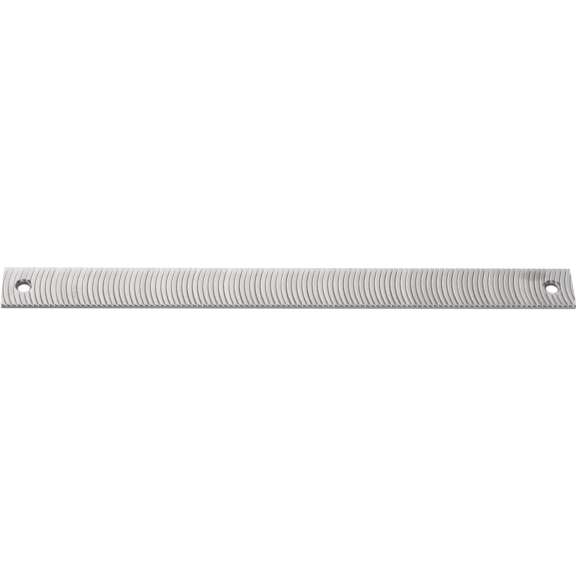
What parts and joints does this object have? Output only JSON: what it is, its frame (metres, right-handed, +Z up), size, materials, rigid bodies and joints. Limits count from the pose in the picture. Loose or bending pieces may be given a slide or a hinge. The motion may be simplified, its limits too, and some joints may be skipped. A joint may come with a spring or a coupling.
{
  "type": "milled file blade",
  "caption": "Flat steel file blade with curved milled teeth across one face and a countersunk fixing hole near each end.",
  "frame": {"origin": "middle of the plain underside, the face that lies on the file holder", "axes": "+X along the blade, away from the way that the cutting edges face; +Y across the blade; +Z up out of the toothed face"},
  "size_m": [0.35, 0.032, 0.0032],
  "materials": {
    "blade_steel": "satin milled, bright, with lightly worn tooth edges"
  },
  "bodies": {
    "root": {"file_blade": "blade_steel"}
  },
  "joints": []
}
